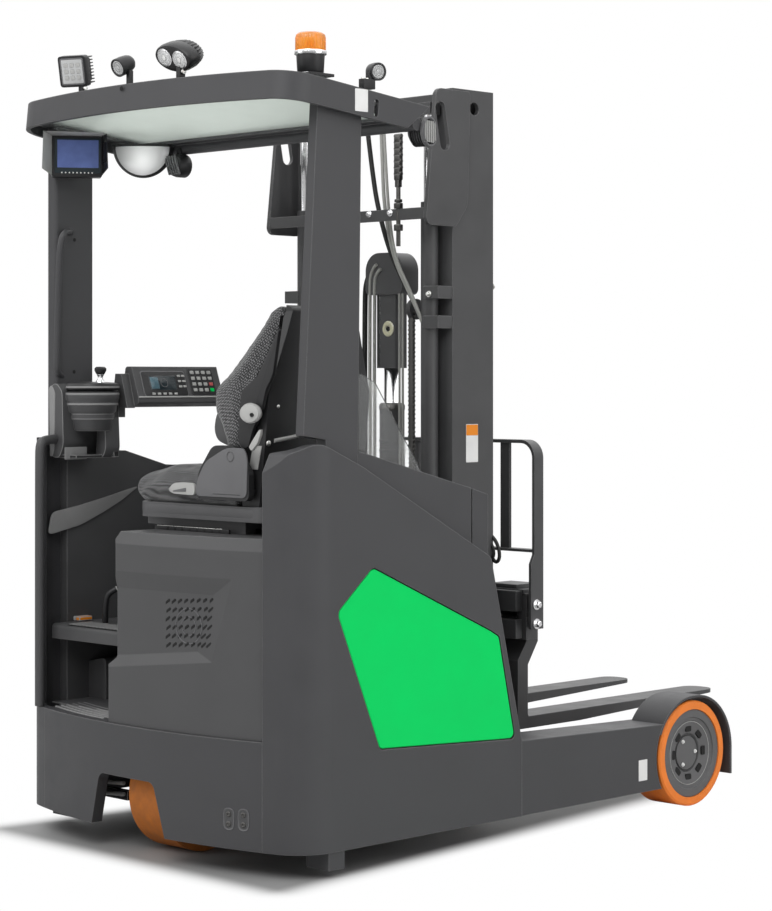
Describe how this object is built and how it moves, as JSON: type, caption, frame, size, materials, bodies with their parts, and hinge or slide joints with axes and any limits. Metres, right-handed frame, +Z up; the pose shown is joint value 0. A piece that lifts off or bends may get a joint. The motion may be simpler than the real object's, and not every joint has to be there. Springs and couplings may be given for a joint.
{
  "type": "reach truck",
  "caption": "Sit-on warehouse reach truck: side-facing seat under a pitched roof guard, and a three-stage mast that slides forward between straddle legs to lift and tilt two forks.",
  "frame": {"origin": "bottom centre of the whole truck's box, on the floor", "axes": "+X forward towards the fork tips, +Y to the truck's left where the operator enters, +Z up"},
  "size_m": [2.55, 1.3, 2.4179],
  "materials": {
    "body_paint": "fine textured dark grey",
    "green_paint": "satin green",
    "cab_plastic": "grained dark grey",
    "battery_case": "satin",
    "roof_glass": "clear, faint green tint",
    "seat_fabric": "knitted grey cloth",
    "seat_steel": "satin black",
    "amber": "clear amber",
    "tyre_orange": "smooth polyurethane",
    "hub_iron": "painted cast iron",
    "mast_steel": "satin dark grey",
    "rod_chrome": "hard chrome"
  },
  "bodies": {
    "chassis": {"chassis_skirt": "body_paint", "side_panel_right": "body_paint", "side_panel_left": "body_paint", "green_panels": "green_paint", "leg_right": "body_paint", "leg_left": "body_paint", "wheel_covers": "body_paint", "chassis_deck": "body_paint", "chassis_crossmember": "body_paint", "rear_feet": "body_paint", "seat_hood": "cab_plastic", "entry_step": "cab_plastic", "cab_wall_left": "cab_plastic", "bulkhead": "body_paint", "battery": "battery_case", "battery_cover": "body_paint", "guard_frame": "body_paint", "guard_glass": "roof_glass", "pillar_right": "body_paint", "pillar_left": "body_paint", "clear_screen": "roof_glass", "seat_suspension": "seat_steel", "seat_cushion": "seat_fabric", "seat_back": "seat_fabric", "seat_shell": "cab_plastic", "steering_console": "cab_plastic", "display_console": "cab_plastic", "monitor": "cab_plastic", "dome_mirror": "cab_plastic", "work_lamps": "cab_plastic", "beacon_base": "cab_plastic", "beacon_lens": "amber", "reach_cylinder": "mast_steel"},
    "steering_wheel": {"steering_wheel": "cab_plastic"},
    "drive_unit": {"drive_unit": "body_paint"},
    "drive_wheel": {"drive_tyre": "tyre_orange", "drive_hub": "hub_iron"},
    "load_wheel_right": {"load_tyre_right": "tyre_orange", "load_hub_right": "hub_iron"},
    "load_wheel_left": {"load_tyre_left": "tyre_orange", "load_hub_left": "hub_iron"},
    "reach_carriage": {"reach_carriage": "mast_steel", "reach_rod": "rod_chrome", "outer_mast": "mast_steel", "mast_head": "mast_steel", "lift_cylinders": "mast_steel"},
    "middle_stage": {"middle_mast": "mast_steel", "lift_rods": "rod_chrome"},
    "inner_stage": {"inner_mast": "mast_steel", "free_lift_cylinder": "mast_steel"},
    "free_lift_head": {"free_lift_head": "mast_steel"},
    "fork_carriage": {"fork_carriage": "mast_steel"},
    "tilt_frame": {"tilt_frame": "mast_steel"},
    "fork_frame": {"sideshift_frame": "mast_steel", "load_backrest": "mast_steel", "fork_right": "mast_steel", "fork_left": "mast_steel"}
  },
  "joints": [
    {"name": "steering_wheel_spin", "type": "hinge", "parent": "chassis", "child": "steering_wheel", "pos_m": [-1.01, 0.482, 1.386], "axis": [0, 0, 1], "continuous": true},
    {"name": "drive_steer", "type": "hinge", "parent": "chassis", "child": "drive_unit", "pos_m": [-1.015, 0, 0.388], "axis": [0, 0, 1], "range_deg": [-90, 90]},
    {"name": "drive_roll", "type": "hinge", "parent": "drive_unit", "child": "drive_wheel", "pos_m": [-1.015, 0, 0.175], "axis": [0, 1, 0], "continuous": true},
    {"name": "load_roll_right", "type": "hinge", "parent": "chassis", "child": "load_wheel_right", "pos_m": [0.625, -0.583, 0.175], "axis": [0, 1, 0], "continuous": true},
    {"name": "load_roll_left", "type": "hinge", "parent": "chassis", "child": "load_wheel_left", "pos_m": [0.625, 0.583, 0.175], "axis": [0, 1, 0], "continuous": true},
    {"name": "reach", "type": "slide", "parent": "chassis", "child": "reach_carriage", "axis": [1, 0, 0], "range_m": [0, 0.55]},
    {"name": "lift", "type": "slide", "parent": "reach_carriage", "child": "middle_stage", "axis": [0, 0, 1], "range_m": [0, 1.65]},
    {"name": "lift_second", "type": "slide", "parent": "middle_stage", "child": "inner_stage", "axis": [0, 0, 1], "range_m": [0, 1.65]},
    {"name": "free_lift", "type": "slide", "parent": "inner_stage", "child": "fork_carriage", "axis": [0, 0, 1], "range_m": [-0.235, 0.8]},
    {"name": "free_lift_head_slide", "type": "slide", "parent": "inner_stage", "child": "free_lift_head", "axis": [0, 0, 1], "range_m": [-0.1175, 0.4]},
    {"name": "fork_tilt", "type": "hinge", "parent": "fork_carriage", "child": "tilt_frame", "pos_m": [0.155, 0, 0.5], "axis": [0, 1, 0], "range_deg": [-4, 2]},
    {"name": "sideshift", "type": "slide", "parent": "tilt_frame", "child": "fork_frame", "axis": [0, 1, 0], "range_m": [-0.05, 0.05]}
  ],
  "couplings": [
    {"joint": "lift_second", "follows": "lift", "ratio": 1},
    {"joint": "free_lift_head_slide", "follows": "free_lift", "ratio": 0.5}
  ]
}
